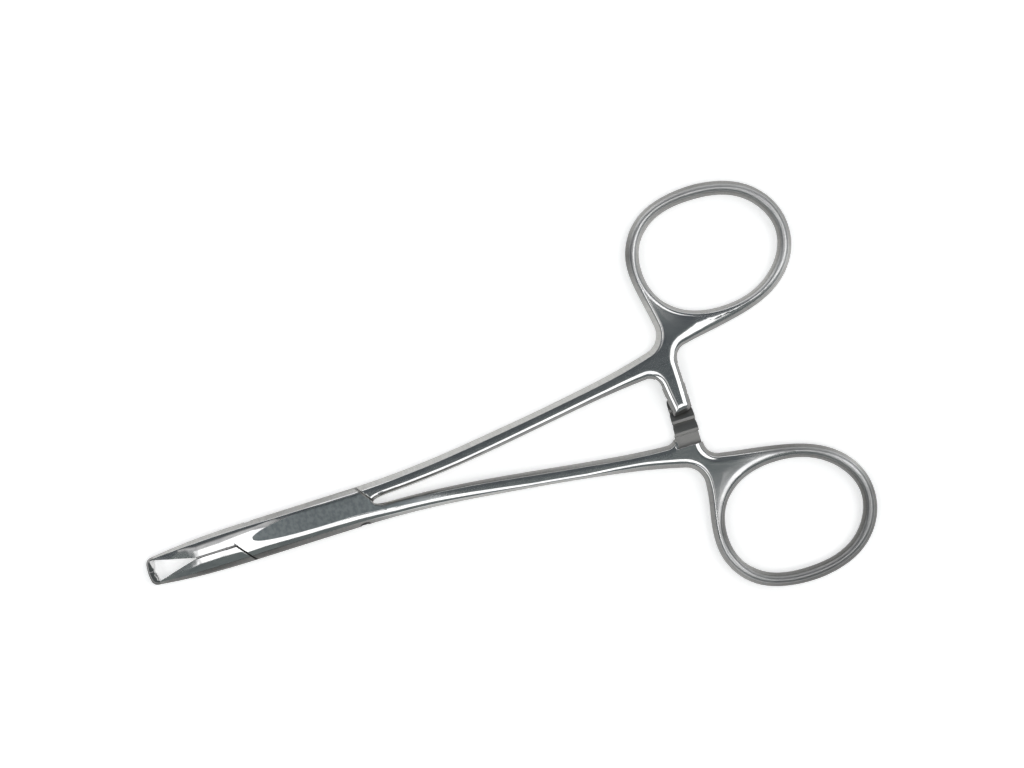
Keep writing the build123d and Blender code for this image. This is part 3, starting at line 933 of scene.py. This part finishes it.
def finish_arms():
    """Builds both arms and gives them and the pin their steel."""
    materials = {
        "box_arm": steel("box_arm_steel", patch=True, rack=1),
        "through_arm": steel("through_arm_steel", rack=-1),
    }
    for node, facts in ARMS.items():
        arm = forged_arm(node, **facts)
        arm.data.materials.clear()
        arm.data.materials.append(materials[node])
    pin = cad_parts["joint_pin"]
    pin.data.materials.clear()
    pin.data.materials.append(steel("pin_steel", patch=True))


# The photograph's frame: 1024 pixels cover VIEW_WIDTH at the instrument, the roll turns +X to the
# lower left, and the camera stands over VIEW_CENTRE
ROLL = radians(17.52)
VIEW_CENTRE = (-42.1, -12.55)
VIEW_WIDTH = 180.8
VIEW_DISTANCE = 550.0
VIEW_HEIGHT = 3.0
SENSOR = 36.0


def add_camera():
    """A camera straight above, rolled as in the photograph."""
    camera = bpy.data.cameras.new("camera")
    camera.sensor_width = SENSOR
    camera.lens = SENSOR * VIEW_DISTANCE / VIEW_WIDTH
    camera.clip_start = 0.01
    holder = bpy.data.objects.new("camera", camera)
    bpy.context.scene.collection.objects.link(holder)
    right = (-cos(ROLL), sin(ROLL), 0)
    up = (-sin(ROLL), -cos(ROLL), 0)
    turn = Matrix((right, up, (0, 0, 1))).transposed().to_4x4()
    spot = (*VIEW_CENTRE, VIEW_HEIGHT + VIEW_DISTANCE)
    holder.matrix_world = Matrix.Translation([part * MM for part in spot]) @ turn
    bpy.context.scene.camera = holder


FLOOR_COLOR = (0.9, 0.9, 0.9, 1)
FLOOR_GLOW = 0.47
FLOOR_HALF = 2.0
FLOOR_THICKNESS = 0.01


def add_floor():
    """A pale floor that keeps the instrument's shadow and shows nearly white."""
    square = [(x * FLOOR_HALF, y * FLOOR_HALF) for x, y in ((-1, -1), (1, -1), (1, 1), (-1, 1))]
    corners = [(x, y, z) for z in (-FLOOR_THICKNESS, 0) for x, y in square]
    sides = [(0, 3, 2, 1), (4, 5, 6, 7), (0, 1, 5, 4), (1, 2, 6, 5), (2, 3, 7, 6), (3, 0, 4, 7)]
    mesh = bpy.data.meshes.new("floor")
    mesh.from_pydata(corners, [], sides)
    floor = bpy.data.objects.new("floor", mesh)
    bpy.context.scene.collection.objects.link(floor)
    material = bpy.data.materials.new("floor")
    tree = Tree(material)
    rays = tree.nodes.new("ShaderNodeLightPath").outputs
    seen = Socket(tree, rays["Is Camera Ray"]).most(Socket(tree, rays["Is Glossy Ray"]))
    seen = seen.most(Socket(tree, rays["Is Transmission Ray"]))
    matt = tree.node("ShaderNodeBsdfDiffuse", {}, {"Color": FLOOR_COLOR})
    inputs = {"Color": (1, 1, 1, 1), "Strength": seen * FLOOR_GLOW}
    glow = tree.node("ShaderNodeEmission", {}, inputs)
    both = tree.node("ShaderNodeAddShader", {}, {0: matt, 1: glow})
    tree.node("ShaderNodeOutputMaterial", {}, {"Surface": both})
    mesh.materials.append(material)


CEILING = (0.13, 0.145, 0.155, 1)
PALER_CEILING = (0.20, 0.225, 0.225, 1)
WALL = 1.0
# Soft panels in the ceiling, as reach along +X and along +Y over the height: from and to along X,
# from and to along Y, brightness, and how soft the edges along Y are
PANELS = [
    (-1.0, 0.19, 0.10, 0.48, 2.2, 0.02),
    (0.36, 0.80, -0.35, 0.60, 2.2, 0.02),
    (0.085, 0.21, -0.22, 0.20, 0.85, 0.13),
    (-0.95, -0.25, -0.45, 0.10, 2.2, 0.02),
    (-3.0, 3.0, -3.5, -1.6, 1.5, 0.02),
]
PANEL_EDGE = 0.02
# Rise of the ceiling's paler half over the reach along +Y, of the ceiling over the height, and the
# least height that a reach is taken over
PALER_FROM = (0.012, 0.034)
WALL_TOP = (0.1, 0.2)
LOWEST = 0.02


def add_studio():
    """A white room with a dark ceiling that holds soft panels, as a world seen by direction."""
    world = bpy.data.worlds.new("studio")
    bpy.context.scene.world = world
    tree = Tree(world)
    x, y, z = tree.split(tree.node("ShaderNodeTexCoord", output=0))
    forward, across = x / z.most(LOWEST), y / z.most(LOWEST)
    paler = across.rise(*PALER_FROM)
    light = (1.0 - z.rise(*WALL_TOP)) * WALL
    for x_from, x_to, y_from, y_to, brightness, edge in PANELS:
        lit = forward.within(x_from, x_to, PANEL_EDGE) * across.within(y_from, y_to, edge)
        light = light.most(lit * brightness)
    gray = tree.joined(light, light, light)
    ceiling = tree.mixed(paler, CEILING, PALER_CEILING)
    color = tree.node("ShaderNodeVectorMath", {"operation": "MAXIMUM"}, {0: gray, 1: ceiling})
    shine = tree.node("ShaderNodeBackground", {}, {"Color": color, "Strength": 1.0})
    tree.node("ShaderNodeOutputWorld", {}, {"Surface": shine})


add_camera()
add_floor()
add_studio()
finish_arms()
bpy.context.scene.view_settings.view_transform = "Standard"
